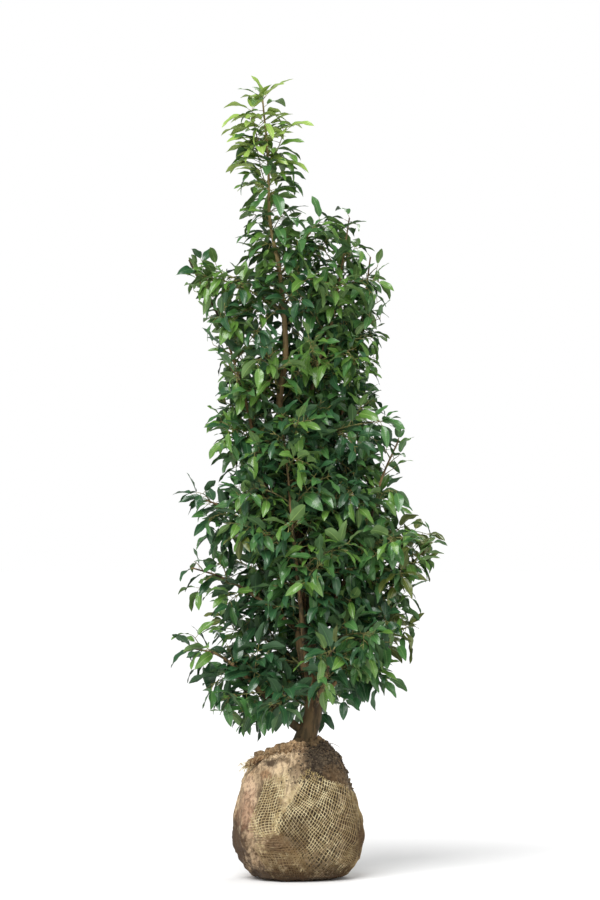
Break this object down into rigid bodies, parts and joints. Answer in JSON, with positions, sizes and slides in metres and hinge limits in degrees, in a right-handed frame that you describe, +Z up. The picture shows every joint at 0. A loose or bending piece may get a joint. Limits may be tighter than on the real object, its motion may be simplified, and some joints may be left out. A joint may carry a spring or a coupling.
{
  "type": "sapling with root ball",
  "caption": "Tall narrow evergreen sapling with upright boughs and glossy lance-shaped leaves, standing on a root ball wrapped in jute net.",
  "frame": {"origin": "centre of the root ball's flat underside, which stands on the ground", "axes": "+Z up along the plant, +X to the plant's right as seen from its front, the front faces -Y"},
  "size_m": [0.7001, 0.6229, 2.1059],
  "materials": {
    "bark": "rough",
    "leaf": "satin",
    "jute": "coarse weave",
    "soil_ball": "coarse weave over soil"
  },
  "bodies": {
    "root": {"back_skirt_bough": "bark", "back_skirt_bough_foliage": "leaf", "back_stem": "bark", "back_stem_foliage": "leaf", "foliage_1_1": "leaf", "foliage_1_2": "leaf", "foliage_2_1": "leaf", "foliage_2_2": "leaf", "foliage_2_4": "leaf", "foliage_3_1": "leaf", "foliage_3_2": "leaf", "foliage_3_4": "leaf", "foliage_3_5": "leaf", "foliage_4_1": "leaf", "foliage_4_2": "leaf", "foliage_4_4": "leaf", "foliage_4_5": "leaf", "foliage_5_1": "leaf", "foliage_5_2": "leaf", "foliage_5_3": "leaf", "foliage_5_4": "leaf", "foliage_5_5": "leaf", "foliage_6_1": "leaf", "foliage_6_2": "leaf", "foliage_6_3": "leaf", "foliage_6_4": "leaf", "foliage_7_1": "leaf", "foliage_7_2": "leaf", "foliage_7_3": "leaf", "foliage_7_4": "leaf", "foliage_8_1": "leaf", "foliage_8_2": "leaf", "front_skirt_bough": "bark", "front_skirt_bough_foliage": "leaf", "front_stem": "bark", "front_stem_foliage": "leaf", "jute_hem": "jute", "left_low_bough": "bark", "left_low_bough_foliage": "leaf", "left_middle_bough": "bark", "left_middle_bough_foliage": "leaf", "left_skirt_bough": "bark", "left_skirt_bough_foliage": "leaf", "left_stem": "bark", "left_stem_foliage": "leaf", "right_long_shoot": "bark", "right_long_shoot_foliage": "leaf", "right_low_stem": "bark", "right_low_stem_foliage": "leaf", "right_outer_stem": "bark", "right_outer_stem_foliage": "leaf", "right_skirt_bough": "bark", "right_skirt_bough_foliage": "leaf", "right_stem": "bark", "right_stem_foliage": "leaf", "root_ball": "soil_ball", "trunk": "bark", "trunk_foliage": "leaf"}
  },
  "joints": []
}
